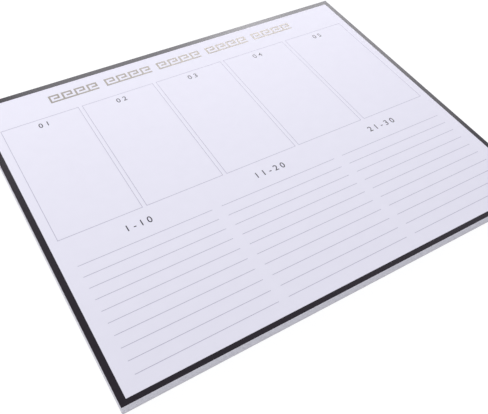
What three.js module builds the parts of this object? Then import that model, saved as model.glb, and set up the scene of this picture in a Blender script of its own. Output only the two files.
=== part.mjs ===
// Weekly planner pad, lying flat: sixty leaves cut to one size on a guillotine, a sheet of
// chipboard under them, and a film of padding glue along the far edge that holds them all.
// The top leaf is printed: a dark border that bleeds off the edge, a gold foil key pattern
// across the head, five day boxes, and three lists of ruled lines.
//
// Millimetres. +X runs along the width, +Y towards the glued edge, and +Z up. The origin is
// the middle of the pad's underside.

import * as THREE from 'three';

// Leaves and backing
const sheetWidth = 254;
const sheetDepth = 203.2;
const leafCount = 60;
const leafThickness = 0.102;
const boardThickness = 1.02;
const glueThickness = 0.3;

// Play of the cut edges: how far a leaf lies in from the outline, how far the slit between
// two leaves reaches past that, and the share of a leaf's thickness that its corner takes
const leafJog = 0.12;
const slitDepth = 0.08;
const cornerShare = 0.25;
const goldenAngle = Math.PI * (3 - Math.sqrt(5));

// Print on the top leaf. The guillotine leaves it a little right of and below the middle.
const printShiftX = 0.16;
const printShiftY = -0.46;
const inkThickness = 0.04;
const foilThickness = 0.05;
const borderWidth = 3.175;
const hairline = 0.25;

// Key pattern under the top border: a row of runs, each of a few hooks on one base line
const keyDrop = 6.9;
const keyHeight = 6.4;
const keyStroke = 1.1;
const keyHooks = 4;
const keyRuns = 5;
const keyRunGap = 5;

// Day boxes, side by side between the borders. Their height is what the key pattern above
// and the lists below leave free.
const boxCount = 5;
const boxMargin = 4.95;
const boxGap = 2.25;
const boxDrop = 9.8;

// Lists of ruled lines, side by side from the boxes down to the bottom border
const listCount = 3;
const listMargin = 7.8;
const listGap = 5.6;
const listDrop = 18.3;
const lineCount = 10;
const linePitch = 6.915;
const footMargin = 7.85;

const blockHeight = leafCount * leafThickness;
const padHeight = boardThickness + blockHeight;

// The window inside the border, on which all the rest of the print is set out
const windowWidth = sheetWidth - 2 * borderWidth;
const windowDepth = sheetDepth - 2 * borderWidth;
const windowTop = windowDepth / 2;

const paper = new THREE.MeshStandardMaterial({ color: 0xe9e8f2, roughness: 0.55 });
const chipboard = new THREE.MeshStandardMaterial({ color: 0xb9b8bd, roughness: 0.9 });
const paddingGlue = new THREE.MeshStandardMaterial({ color: 0xe4e2dc, roughness: 0.4 });
const borderInk = new THREE.MeshStandardMaterial({ color: 0x2c2a31, roughness: 0.35 });
const lineInk = new THREE.MeshStandardMaterial({ color: 0x87858f, roughness: 0.5 });
const goldFoil = new THREE.MeshStandardMaterial({ color: 0xc9b07c, roughness: 0.3, metalness: 1 });

const pad = new THREE.Group();

// Everything is set out from the middle of the sheet, which lies half the glue film's
// thickness in front of the origin.
const stack = new THREE.Group();
stack.position.y = -glueThickness / 2;
pad.add(stack);

const print = new THREE.Group();
print.position.set(printShiftX, printShiftY, padHeight);
stack.add(print);

function piece(name, geometry, material, parent, x = 0, y = 0, z = 0) {
  const mesh = new THREE.Mesh(geometry, material);
  mesh.name = name;
  mesh.position.set(x, y, z);
  parent.add(mesh);
}

function numbered(name, index) {
  return `${name}_${String(index + 1).padStart(2, '0')}`;
}

// Outlines in the plane of the print

function rectangle(path, width, height, x = 0, y = 0) {
  path.moveTo(x - width / 2, y - height / 2);
  path.lineTo(x + width / 2, y - height / 2);
  path.lineTo(x + width / 2, y + height / 2);
  path.lineTo(x - width / 2, y + height / 2);
  path.closePath();
  return path;
}

function printed(shape, thickness) {
  return new THREE.ExtrudeGeometry(shape, { depth: thickness, bevelEnabled: false });
}

function lineFrame(width, height) {
  const shape = rectangle(new THREE.Shape(), width, height);
  shape.holes.push(rectangle(new THREE.Path(), width - 2 * hairline, height - 2 * hairline));
  return printed(shape, inkThickness);
}

// Leaves: one closed stack of rings of four corners. Each leaf has a ring at the foot and at
// the head of its cut edge, and a ring lies at the bottom of the slit between two leaves.
// The far edge is flat, because the pad was clamped and glued there.

function cornerRing(z, left, right, front) {
  const x0 = left - sheetWidth / 2;
  const x1 = sheetWidth / 2 - right;
  const y0 = front - sheetDepth / 2;
  const y1 = sheetDepth / 2;
  return [x0, y0, z, x1, y0, z, x1, y1, z, x0, y1, z];
}

function leafRings(leaf) {
  const foot = leaf * leafThickness;
  const head = foot + leafThickness;
  const corner = cornerShare * leafThickness;
  const first = leaf === 0;
  const last = leaf === leafCount - 1;

  // The top leaf fills the outline, and those under it have slipped a little each way
  const play = last ? 0 : leafJog / 2;
  const left = play * (1 + Math.sin(leaf * goldenAngle));
  const right = play * (1 - Math.sin(leaf * goldenAngle));
  const front = play * (1 + Math.cos(leaf * goldenAngle));

  const rings = [cornerRing(first ? foot : foot + corner, left, right, front)];
  rings.push(cornerRing(last ? head : head - corner, left, right, front));
  if (!last) {
    const slit = leafJog + slitDepth;
    rings.push(cornerRing(head, slit, slit, slit));
  }
  return rings;
}

function leafBlock() {
  const rings = [];
  for (let leaf = 0; leaf < leafCount; leaf += 1) {
    rings.push(...leafRings(leaf));
  }
  const faces = [0, 2, 1, 0, 3, 2];
  for (let ring = 1; ring < rings.length; ring += 1) {
    for (let side = 0; side < 4; side += 1) {
      const a = 4 * (ring - 1) + side;
      const b = 4 * (ring - 1) + ((side + 1) % 4);
      faces.push(a, b, b + 4, a, b + 4, a + 4);
    }
  }
  const top = 4 * (rings.length - 1);
  faces.push(top, top + 1, top + 2, top, top + 2, top + 3);

  const geometry = new THREE.BufferGeometry();
  geometry.setAttribute('position', new THREE.Float32BufferAttribute(rings.flat(), 3));
  geometry.setIndex(faces);
  return geometry;
}

piece('sheet_block', leafBlock(), paper, stack, 0, 0, boardThickness);

// Chipboard back, cut with the leaves

const board = new THREE.BoxGeometry(sheetWidth, sheetDepth, boardThickness);
piece('backing_board', board, chipboard, stack, 0, 0, boardThickness / 2);

// Padding glue: a brushed film up the whole far edge, thinned off at its top and bottom

function glueFilm() {
  const section = new THREE.Shape();
  section.moveTo(0, 0);
  section.absarc(0, glueThickness, glueThickness, -Math.PI / 2, 0, false);
  section.absarc(0, padHeight - glueThickness, glueThickness, 0, Math.PI / 2, false);
  section.closePath();
  const film = new THREE.ExtrudeGeometry(section, {
    depth: sheetWidth,
    bevelEnabled: false,
    curveSegments: 6,
  });
  const across = new THREE.Vector3(0, 1, 0);
  const up = new THREE.Vector3(0, 0, 1);
  const along = new THREE.Vector3(1, 0, 0);
  return film.applyMatrix4(new THREE.Matrix4().makeBasis(across, up, along));
}

piece('binding_glue', glueFilm(), paddingGlue, stack, -sheetWidth / 2, sheetDepth / 2, 0);

// Border: it bleeds off the sheet, so its outer edge is the cut edge, and the window in it
// moves with the print

function border() {
  const shape = rectangle(new THREE.Shape(), sheetWidth, sheetDepth);
  const window = new THREE.Path();
  shape.holes.push(rectangle(window, windowWidth, windowDepth, printShiftX, printShiftY));
  return printed(shape, inkThickness);
}

piece('border_print', border(), borderInk, stack, 0, 0, padHeight);

// Gold foil key pattern. Strokes and gaps share the height evenly: base line, gap, hook,
// gap, head line. The outline runs along the base line's foot and comes back over the hooks.

const keyStep = (keyHeight - keyStroke) / 4;
const hookReach = 4 * keyStep;
const keyPitch = hookReach + 2 * keyStep;
const keyRunWidth = keyPitch * (keyHooks - 1) + hookReach + keyStroke;

function hookOutline(x) {
  const inner = x + keyStroke;
  const middle = x + hookReach / 2;
  const down = x + hookReach;
  const outer = down + keyStroke;
  const hookFoot = 2 * keyStep;
  const hookHead = hookFoot + keyStroke;
  const headFoot = keyHeight - keyStroke;
  return [
    [inner, keyStroke],
    [inner, headFoot],
    [down, headFoot],
    [down, hookHead],
    [middle, hookHead],
    [middle, hookFoot],
    [outer, hookFoot],
    [outer, keyHeight],
    [x, keyHeight],
  ];
}

function keyRun() {
  const points = [[0, 0], [keyRunWidth, 0], [keyRunWidth, keyStroke]];
  for (let hook = keyHooks - 1; hook >= 0; hook -= 1) {
    const x = hook * keyPitch;
    points.push(...hookOutline(x));
    if (hook > 0) points.push([x, keyStroke]);
  }
  const shape = new THREE.Shape(points.map(([x, y]) => new THREE.Vector2(x, y)));
  return printed(shape, foilThickness);
}

const keyBandWidth = keyRuns * keyRunWidth + (keyRuns - 1) * keyRunGap;
const keyFoot = windowTop - keyDrop - keyHeight;
for (let run = 0; run < keyRuns; run += 1) {
  const x = run * (keyRunWidth + keyRunGap) - keyBandWidth / 2;
  piece(numbered('foil_key', run), keyRun(), goldFoil, print, x, keyFoot);
}

// Day boxes: five hairline frames

const boxWidth = (windowWidth - 2 * boxMargin - (boxCount - 1) * boxGap) / boxCount;
const boxPitch = boxWidth + boxGap;
const boxTop = keyFoot - boxDrop;
const lastLine = footMargin - windowDepth / 2;
const firstLine = lastLine + (lineCount - 1) * linePitch;
const boxHeight = boxTop - listDrop - firstLine;
for (let box = 0; box < boxCount; box += 1) {
  const x = (box - (boxCount - 1) / 2) * boxPitch;
  const frame = lineFrame(boxWidth, boxHeight);
  piece(numbered('day_box', box), frame, lineInk, print, x, boxTop - boxHeight / 2);
}

// Lists: three columns of ruled hairlines

const listWidth = (windowWidth - 2 * listMargin - (listCount - 1) * listGap) / listCount;
const listPitch = listWidth + listGap;
for (let list = 0; list < listCount; list += 1) {
  const x = (list - (listCount - 1) / 2) * listPitch;
  for (let line = 0; line < lineCount; line += 1) {
    const rule = printed(rectangle(new THREE.Shape(), listWidth, hairline), inkThickness);
    const name = numbered(`${numbered('list', list)}_line`, line);
    piece(name, rule, lineInk, print, x, firstLine - line * linePitch);
  }
}

export default pad;
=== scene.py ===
import math

import bmesh
import bpy
from mathutils import Matrix, Vector, noise


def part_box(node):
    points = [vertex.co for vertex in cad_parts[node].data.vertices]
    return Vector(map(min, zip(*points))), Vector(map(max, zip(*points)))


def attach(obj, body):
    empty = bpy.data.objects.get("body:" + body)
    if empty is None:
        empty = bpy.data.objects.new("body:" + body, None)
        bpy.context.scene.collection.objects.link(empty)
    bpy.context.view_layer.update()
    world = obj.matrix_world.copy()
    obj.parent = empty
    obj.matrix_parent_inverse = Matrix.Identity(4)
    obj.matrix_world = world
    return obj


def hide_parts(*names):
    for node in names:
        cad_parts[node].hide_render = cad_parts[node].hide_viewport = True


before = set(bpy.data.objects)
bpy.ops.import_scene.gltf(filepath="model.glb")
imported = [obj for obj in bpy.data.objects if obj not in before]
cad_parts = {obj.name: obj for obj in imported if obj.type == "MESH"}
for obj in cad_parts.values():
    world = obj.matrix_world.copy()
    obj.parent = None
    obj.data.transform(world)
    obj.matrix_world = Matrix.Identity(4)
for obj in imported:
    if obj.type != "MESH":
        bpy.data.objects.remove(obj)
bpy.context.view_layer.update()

# Weekly planner pad, lying flat: sixty leaves, the top one printed, on a sheet of chipboard,
# all glued along the far edge. Lengths are in metres, and every piece takes its place from
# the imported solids.

# Camera: held above the pad's near left corner and turned a little, as in the photograph.
# The lens axis meets the page left of and below its middle.

block_low, block_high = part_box("sheet_block")
photo_width, photo_height = 488, 414
focal_pixels = 631.3
lens_axis_x, lens_axis_y = 233.1, 207.5
aim = Vector((-0.0319, -0.0326, block_high.z))
aim_distance = 0.3284
azimuth, elevation, roll = math.radians(35.8), math.radians(50.56), math.radians(6.09)

camera_data = bpy.data.cameras.new("camera")
camera_data.sensor_width = 36
camera_data.lens = camera_data.sensor_width * focal_pixels / photo_width
camera_data.shift_x = (photo_width / 2 - lens_axis_x) / photo_width
camera_data.shift_y = (lens_axis_y - photo_height / 2) / photo_width
camera_data.clip_start = 0.01
camera = bpy.data.objects.new("camera", camera_data)
turn = Matrix.Rotation(-azimuth, 4, "Z") @ Matrix.Rotation(math.pi / 2 - elevation, 4, "X")
camera.matrix_world = (
    Matrix.Translation(aim) @ turn @ Matrix.Translation((0, 0, aim_distance))
    @ Matrix.Rotation(roll, 4, "Z")
)
bpy.context.collection.objects.link(camera)
bpy.context.scene.camera = camera

# Leaves under the top one: plain white offset paper, cut together on a guillotine, so that
# each edge follows the cut with a little play and a few loose fibres.

leaf_count = 60
leaf_pitch = (block_high.z - block_low.z) / leaf_count
leaf_thickness = 0.94 * leaf_pitch
leaf_play = 0.00006
leaf_fibre = 0.00006
edge_step = 0.002

# The fray has this many waves to the metre, its pattern moves on by this much from one leaf
# to the next, and a point this near to an edge lies on it.
fray_waves = 400
fray_shift = 7.3
touching = 1e-6


class Wire:
    """An output of a shader node, which sums and products on it pass on through Math nodes."""

    def __init__(self, finish, socket):
        self.finish = finish
        self.socket = socket

    def maths(self, operation, first, second):
        return self.finish.node("ShaderNodeMath", {"operation": operation}, {0: first, 1: second})

    def __add__(self, other):
        return self.maths("ADD", self, other)

    def __sub__(self, other):
        return self.maths("SUBTRACT", self, other)

    def __rsub__(self, other):
        return self.maths("SUBTRACT", other, self)

    def __mul__(self, other):
        return self.maths("MULTIPLY", self, other)

    __radd__ = __add__
    __rmul__ = __mul__


class Finish:
    """A material, its Principled shader, and the nodes that feed it."""

    def __init__(self, name, **sockets):
        self.material = bpy.data.materials.new(name)
        self.material.use_nodes = True
        self.tree = self.material.node_tree
        self.shader = self.tree.nodes["Principled BSDF"]
        for socket, value in sockets.items():
            self.set(socket.replace("_", " "), value)

    def feed(self, socket, value):
        if isinstance(value, Wire):
            self.tree.links.new(value.socket, socket)
        elif isinstance(value, tuple) and socket.type == "RGBA":
            socket.default_value = (*value, 1)
        else:
            socket.default_value = value

    def set(self, socket, value):
        self.feed(self.shader.inputs[socket], value)

    def node(self, kind, settings, inputs, output=0):
        made = self.tree.nodes.new(kind)
        for setting, value in settings.items():
            setattr(made, setting, value)
        for name, value in inputs.items():
            self.feed(made.inputs[name], value)
        return Wire(self, made.outputs[output])

    def grain(self, size, lay=(1, 1, 1), detail=2):
        """Noise from 0 to 1 in blots about size across, drawn out where lay is under 1."""
        spot = self.node("ShaderNodeTexCoord", {}, {}, "Object")
        laid = self.node("ShaderNodeMapping", {}, {"Vector": spot, "Scale": lay})
        inputs = {"Vector": laid, "Scale": 1 / size, "Detail": detail}
        return self.node("ShaderNodeTexNoise", {}, inputs)

    def blend(self, share, first, second):
        """The first colour where share is 0, and the second where it is 1."""
        inputs = {"Factor": share, "A": first, "B": second}
        return self.node("ShaderNodeMix", {"data_type": "RGBA"}, inputs, "Result")

    def bump(self, height, depth):
        self.set("Normal", self.node("ShaderNodeBump", {}, {"Height": height, "Distance": depth}))


def settle(name, bm, finish, slot, *nodes):
    """Makes the finished mesh a piece of the pad, in place of its plain solid if it has one."""
    mesh = bpy.data.meshes.new(name)
    bm.to_mesh(mesh)
    bm.free()
    mesh.materials.append(finish.material)
    piece = bpy.data.objects.new(name, mesh)
    bpy.context.collection.objects.link(piece)
    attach(piece, "root")
    if nodes:
        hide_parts(*nodes)


def cut_sheet(low, high):
    """One flat face over the sheet, its outline split every few millimetres."""
    bm = bmesh.new()
    bmesh.ops.create_grid(bm, x_segments=1, y_segments=1, size=0.5)
    extent = high - low
    bmesh.ops.scale(bm, vec=(extent.x, extent.y, 1), verts=bm.verts)
    bmesh.ops.translate(bm, vec=((low.x + high.x) / 2, (low.y + high.y) / 2, 0), verts=bm.verts)
    for along in (0, 1):
        sides = []
        for edge in bm.edges:
            start, end = (vert.co[along] for vert in edge.verts)
            if abs(start - end) > 2 * edge_step:
                sides.append(edge)
        bmesh.ops.bisect_edges(bm, edges=sides, cuts=int(extent[along] / edge_step))
    return bm


def fray(bm, low, high, play, fibre, seed):
    """Moves the open edges in from the outline, and leaves the glued far edge as it is."""
    left, right, front = play
    for vert in bm.verts:
        spot = Vector((vert.co.x * fray_waves, vert.co.y * fray_waves, seed * fray_shift))
        stray = fibre * abs(noise.noise(spot))
        if abs(vert.co.y - high.y) < touching:
            continue
        if abs(vert.co.x - low.x) < touching:
            vert.co.x += left + stray
        if abs(vert.co.x - high.x) < touching:
            vert.co.x -= right + stray
        if abs(vert.co.y - low.y) < touching:
            vert.co.y += front + stray


def thicken(bm, foot, thickness):
    """Gives the flat sheet its thickness, upwards from foot."""
    bmesh.ops.translate(bm, vec=(0, 0, foot), verts=bm.verts)
    made = bmesh.ops.extrude_face_region(bm, geom=bm.faces[:])
    raised = [v for v in made["geom"] if isinstance(v, bmesh.types.BMVert)]
    bmesh.ops.translate(bm, vec=(0, 0, thickness), verts=raised)
    bmesh.ops.recalc_face_normals(bm, faces=bm.faces)


streak_height = leaf_pitch * 1.6
streak_lay = (0.003, 0.003, 1)
nick_width = 0.0006
nick_lay = (1, 1, 0.02)
nap_size = 0.00012
nap_depth = 0.00003

cut_paper = Finish("cut_paper", Roughness=0.75, Specular_IOR_Level=0.3)
streaks = cut_paper.grain(streak_height, streak_lay, detail=1)
nicks = cut_paper.grain(nick_width, nick_lay)
tone = streaks * 0.6 + nicks * 0.4
cut_paper.set("Base Color", cut_paper.blend(tone, (0.69, 0.685, 0.72), (0.88, 0.875, 0.91)))
cut_paper.bump(cut_paper.grain(nap_size), nap_depth)

golden_angle = math.pi * (3 - math.sqrt(5))
pile = bmesh.new()
for leaf in range(leaf_count - 1):
    bm = cut_sheet(block_low, block_high)
    slip = leaf * golden_angle
    left = leaf_play * (1 + math.sin(slip))
    right = leaf_play * (1 - math.sin(slip))
    front = leaf_play * (1 + math.cos(slip))
    fray(bm, block_low, block_high, (left, right, front), leaf_fibre, leaf)
    thicken(bm, block_low.z + leaf * leaf_pitch, leaf_thickness)
    leaf_mesh = bpy.data.meshes.new("leaf")
    bm.to_mesh(leaf_mesh)
    bm.free()
    pile.from_mesh(leaf_mesh)
    bpy.data.meshes.remove(leaf_mesh)
settle("under_leaves", pile, cut_paper, "paper", "sheet_block")

# Top leaf: the same paper with the print on it. Its surface is smooth, faintly cloudy where
# the pulp lay thicker, and it takes a soft sheen from light that comes in low.

fibre_size = 0.0004
fibre_lay = (1, 0.6, 1)
paper_fibre_depth = 0.000008
cloud_size = 0.007
top_play = (0, 0, 0)
top_fibre = 0.00002


def paper_fibre(finish):
    """The top leaf's fibres, which show through ink and foil too."""
    return finish.grain(fibre_size, fibre_lay, detail=4)


paper = Finish("smooth_paper", Specular_IOR_Level=0.45)
cloud = paper.grain(cloud_size, detail=3)
paper.set("Base Color", paper.blend(cloud, (0.83, 0.82, 0.895), (0.86, 0.85, 0.925)))
fibre = paper_fibre(paper)
paper.set("Roughness", 0.52 + fibre * 0.12)
paper.bump(fibre, paper_fibre_depth)

bm = cut_sheet(block_low, block_high)
fray(bm, block_low, block_high, top_play, top_fibre, leaf_count)
thicken(bm, block_high.z - leaf_pitch, leaf_pitch)
settle("top_leaf", bm, paper, "paper", "sheet_block")

# Print: a satin dark ink for the border, which takes the paper's texture, and a thin grey
# one for the boxes and ruled lines, which are too narrow to show it. Both lie on the top leaf.

border_fibre_depth = 0.000004
ink_blot = 0.0015
ink_speck = 0.0003


def dress(starts, finish):
    """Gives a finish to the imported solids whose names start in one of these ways."""
    for name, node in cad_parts.items():
        if name.startswith(starts):
            node.data.materials.clear()
            node.data.materials.append(finish.material)


border_ink = Finish("border_ink", Specular_IOR_Level=0.7)
coverage = border_ink.grain(ink_blot, detail=3)
border_ink.set("Base Color", border_ink.blend(coverage, (0.010, 0.006, 0.011), (0.018, 0.012, 0.020)))
border_ink.set("Roughness", 0.23 + coverage * 0.06)
border_ink.bump(paper_fibre(border_ink), border_fibre_depth)
dress(("border_print",), border_ink)

line_ink = Finish("line_ink", Roughness=0.34, Specular_IOR_Level=0.6)
speck = line_ink.grain(ink_speck)
line_ink.set("Base Color", line_ink.blend(speck, (0.415, 0.40, 0.50), (0.495, 0.48, 0.58)))
dress(("day_box", "list_"), line_ink)

# Gold foil: metal film stamped hot onto the top leaf in five runs of a key pattern. It follows
# the paper's fibres, and so spreads its shine instead of mirroring.

foil_fibre_depth = 0.00001
film_blot = 0.0009

foil = Finish("gold_foil", Metallic=1.0)
film = foil.grain(film_blot, detail=3)
foil.set("Base Color", foil.blend(film, (0.335, 0.31, 0.275), (0.41, 0.385, 0.345)))
foil.set("Roughness", 0.43 + film * 0.12)
foil.bump(paper_fibre(foil), foil_fibre_depth)
dress(("foil_key",), foil)

# Numbers: thin figures in a dark ink, printed on the top leaf and spaced wide. One number
# stands inside the head of each day box, and a range of them over each list.

ink_thickness = 0.00004
figure_spacing = 1.6

# What the outline is made bolder by, and how near two of its points count as one, while the
# figures are still set at a size of 1
figure_weight = 0.003
same_point = 0.0005

figure_ink = Finish("figure_ink", Roughness=0.24, Specular_IOR_Level=0.6)
strength = figure_ink.grain(ink_speck)
figure_ink.set("Base Color", figure_ink.blend(strength, (0.025, 0.02, 0.03), (0.04, 0.035, 0.05)))


def figures(name, body, x, y, height):
    """Flat figures of the given height, centred on a point of the top leaf."""
    curve = bpy.data.curves.new(name, "FONT")
    curve.body = body
    curve.size = 1
    curve.space_character = figure_spacing
    curve.offset = figure_weight
    curve.extrude = 0.5
    typeset = bpy.data.objects.new(name, curve)
    bpy.context.collection.objects.link(typeset)
    bpy.context.view_layer.update()
    settled = typeset.evaluated_get(bpy.context.evaluated_depsgraph_get())
    text = bpy.data.meshes.new_from_object(settled)
    bpy.data.objects.remove(typeset)
    bm = bmesh.new()
    bm.from_mesh(text)
    bpy.data.meshes.remove(text)
    bmesh.ops.remove_doubles(bm, verts=bm.verts, dist=same_point)
    bmesh.ops.recalc_face_normals(bm, faces=bm.faces)
    xs = [v.co.x for v in bm.verts]
    ys = [v.co.y for v in bm.verts]
    scale = height / (max(ys) - min(ys))
    middle = Matrix.Translation((-(min(xs) + max(xs)) / 2, -(min(ys) + max(ys)) / 2, 0))
    sized = Matrix.Diagonal((scale, scale, ink_thickness, 1))
    placed = Matrix.Translation((x, y, block_high.z + ink_thickness / 2))
    bmesh.ops.transform(bm, matrix=placed @ sized @ middle, verts=bm.verts)
    settle(name, bm, figure_ink, "line_ink")


day_count = 5
day_figure = 0.0036
day_figure_drop = 0.0051
for day in range(1, day_count + 1):
    low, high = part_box(f"day_box_{day:02d}")
    centre = (low.x + high.x) / 2
    figures(f"day_number_{day}", f"0{day}", centre, high.y - day_figure_drop, day_figure)

list_figure = 0.0039
list_figure_rise = 0.0095
for column, body in enumerate(("1-10", "11-20", "21-30"), 1):
    low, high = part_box(f"list_{column:02d}_line_01")
    centre = (low.x + high.x) / 2
    figures(f"list_number_{column}", body, centre, high.y + list_figure_rise, list_figure)

# Backing board: grey chipboard pressed from waste pulp, cut on the guillotine with the
# leaves and glued to them. Its faces and its cut edge show the coarse pulp, with darker flecks.

board_low, board_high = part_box("backing_board")
board_play = 0.00002
board_fibre = 0.00006
pulp_size = 0.0008
pulp_depth = 0.00006
fleck_size = 0.0013
fleck_from, fleck_full = 0.66, 0.74

chipboard = Finish("chipboard", Roughness=0.88, Specular_IOR_Level=0.25)
pulp = chipboard.grain(pulp_size, detail=5)
sparse = {"Value": chipboard.grain(fleck_size), "From Min": fleck_from, "From Max": fleck_full}
fleck = chipboard.node("ShaderNodeMapRange", {}, sparse)
pressed = chipboard.blend(pulp, (0.56, 0.55, 0.57), (0.74, 0.73, 0.75))
chipboard.set("Base Color", chipboard.blend(fleck * 0.6, pressed, (0.30, 0.29, 0.29)))
chipboard.bump(pulp, pulp_depth)

bm = cut_sheet(board_low, board_high)
fray(bm, board_low, board_high, (board_play, board_play, board_play), board_fibre, leaf_count + 1)
thicken(bm, board_low.z, board_high.z - board_low.z)
settle("chipboard_back", bm, chipboard, "chipboard", "backing_board")

# Padding glue: a milky film brushed along the far edge of the clamped pile, whose leaves show
# through it as fine ridges. It is thickest in the middle and thins off at both rims.

glue_low, glue_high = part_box("binding_glue")
glue_size = glue_high - glue_low
glue_steps_along, glue_steps_up = 127, 14
rim = 0.0006
rim_share = 0.2
brush_share = 0.2
brush_waves_along, brush_waves_up, brush_seed = 40, 700, 3
stroke_width = 0.0009
stroke_lay = (0.06, 1, 1)
ridge_lay = (0.01, 1, 1)
ridge_depth = 0.00004

glue = Finish("padding_glue", Specular_IOR_Level=0.5)
stroke = glue.grain(stroke_width, stroke_lay, detail=3)
glue.set("Base Color", glue.blend(stroke, (0.50, 0.49, 0.455), (0.62, 0.61, 0.575)))
glue.set("Roughness", 0.28 + stroke * 0.2)
ridges = glue.grain(2 * leaf_pitch, ridge_lay, detail=1)
glue.bump(stroke * 0.6 + ridges * 0.4, ridge_depth)

bm = bmesh.new()
bmesh.ops.create_grid(bm, x_segments=glue_steps_along, y_segments=glue_steps_up, size=0.5)
bmesh.ops.rotate(bm, cent=(0, 0, 0), matrix=Matrix.Rotation(math.pi / 2, 3, "X"), verts=bm.verts)
bmesh.ops.scale(bm, vec=(glue_size.x, 1, glue_size.z), verts=bm.verts)
bmesh.ops.translate(bm, vec=(0, glue_low.y, (glue_low.z + glue_high.z) / 2), verts=bm.verts)
made = bmesh.ops.extrude_face_region(bm, geom=bm.faces[:])
for vert in [v for v in made["geom"] if isinstance(v, bmesh.types.BMVert)]:
    depth = min(vert.co.z - glue_low.z, glue_high.z - vert.co.z)
    swell = rim_share + (1 - rim_share) * min(depth / rim, 1)
    spot = Vector((vert.co.x * brush_waves_along, vert.co.z * brush_waves_up, brush_seed))
    brushed = 1 - brush_share + brush_share * noise.noise(spot)
    vert.co.y += glue_size.y * min(swell * brushed, 1)
bmesh.ops.recalc_face_normals(bm, faces=bm.faces)
settle("glue_film", bm, glue, "padding_glue", "binding_glue")

# Floor: white, and lit from within for the camera and for reflections, so that it runs on
# into the background. Only its plain share takes the pad's shadow.

backdrop_share = 0.8
backdrop_level = 1.12
floor_half = 4


def rays(finish, *kinds):
    """1 on rays of any of these kinds, and 0 on all others."""
    seen = finish.node("ShaderNodeLightPath", {}, {}, kinds[0])
    for kind in kinds[1:]:
        seen = seen + finish.node("ShaderNodeLightPath", {}, {}, kind)
        seen.socket.node.use_clamp = True
    return seen


white_floor = Finish("white_floor", Roughness=0.9, Specular_IOR_Level=0.0)
white_floor.set("Base Color", (0.85, 0.85, 0.85))
white_light = {"Color": (1.0, 1.0, 1.0), "Strength": backdrop_level}
glow = white_floor.node("ShaderNodeEmission", {}, white_light)
lit = Wire(white_floor, white_floor.shader.outputs[0])
share = rays(white_floor, "Is Camera Ray", "Is Glossy Ray", "Is Transmission Ray") * backdrop_share
mixed = white_floor.node("ShaderNodeMixShader", {}, {0: share, 1: lit, 2: glow})
white_floor.feed(white_floor.tree.nodes["Material Output"].inputs["Surface"], mixed)

bm = bmesh.new()
bmesh.ops.create_grid(bm, x_segments=1, y_segments=1, size=floor_half)
floor_mesh = bpy.data.meshes.new("floor")
bm.to_mesh(floor_mesh)
bm.free()
floor_mesh.materials.append(white_floor.material)
floor = bpy.data.objects.new("floor", floor_mesh)
bpy.context.collection.objects.link(floor)

# Background and room: white to the camera, bright near the horizon and dim overhead in
# reflections, and an even pale light on everything else.


class Sky(Finish):
    """The world's background and the nodes that feed it."""

    def __init__(self, name):
        self.material = bpy.data.worlds.new(name)
        self.material.use_nodes = True
        self.tree = self.material.node_tree
        self.shader = self.tree.nodes["Background"]


room_level = 0.635
wall_level, ceiling_level = 1.0, 0.25
wall_head, ceiling_foot = 0.25, 0.8
sky = Sky("studio")
sky.set("Color", (0.96, 0.96, 1.04))
direction = sky.node("ShaderNodeTexCoord", {}, {}, "Generated")
rise = sky.node("ShaderNodeSeparateXYZ", {}, {"Vector": direction}, "Z")
fading = {"Value": rise, "From Min": wall_head, "From Max": ceiling_foot}
fading.update({"To Min": wall_level, "To Max": ceiling_level})
mirrored = sky.node("ShaderNodeMapRange", {}, fading)
direct = rays(sky, "Is Camera Ray")
reflected = rays(sky, "Is Glossy Ray", "Is Transmission Ray")
plain = 1 - direct - reflected
sky.set("Strength", direct * backdrop_level + reflected * mirrored + plain * room_level)
bpy.context.scene.world = sky.material

# Lamps: a bank of five soft panels behind the pad and to its right, whose reflection greys
# the dark border towards the far corner, one panel on the left and one in front.


def soft_light(name, bearing, lift, distance, centre, width, height, brightness, colour):
    """A flat panel that faces the centre given. Bearing is in degrees from +Y towards +X."""
    around, up = math.radians(bearing), math.radians(lift)
    way = Vector((math.sin(around) * math.cos(up), math.cos(around) * math.cos(up), math.sin(up)))
    data = bpy.data.lights.new(name, "AREA")
    data.shape = "RECTANGLE"
    data.size = width
    data.size_y = height
    data.energy = math.pi * width * height * brightness
    data.color = colour
    light = bpy.data.objects.new(name, data)
    light.location = Vector(centre) + way * distance
    light.rotation_euler = way.to_track_quat("Z", "Y").to_euler()
    light.visible_camera = False
    bpy.context.collection.objects.link(light)


bank_lift = 32
bank_distance = 0.9
bank_height = 0.31
bank_colour = (1.0, 0.99, 1.02)
pad_centre = (0, 0, 0)
bank = ((13.5, 0.366, 2.4), (32, 0.126, 4.8), (40, 0.157, 3.8), (50, 0.157, 2.7), (61, 0.19, 1.5))
for panel, (bearing, width, brightness) in enumerate(bank, 1):
    soft_light(
        f"back_light_{panel}", bearing, bank_lift, bank_distance, pad_centre,
        width, bank_height, brightness, bank_colour,
    )
soft_light(
    "left_light", bearing=-35, lift=30, distance=0.6, centre=(-0.12, 0.09, 0),
    width=0.3, height=0.3, brightness=5.6, colour=(1.0, 0.99, 0.98),
)
soft_light(
    "front_light", bearing=-155, lift=14, distance=1.4, centre=pad_centre,
    width=1.2, height=0.5, brightness=1.6, colour=(0.98, 0.98, 1.0),
)

bpy.context.scene.view_settings.view_transform = "Standard"
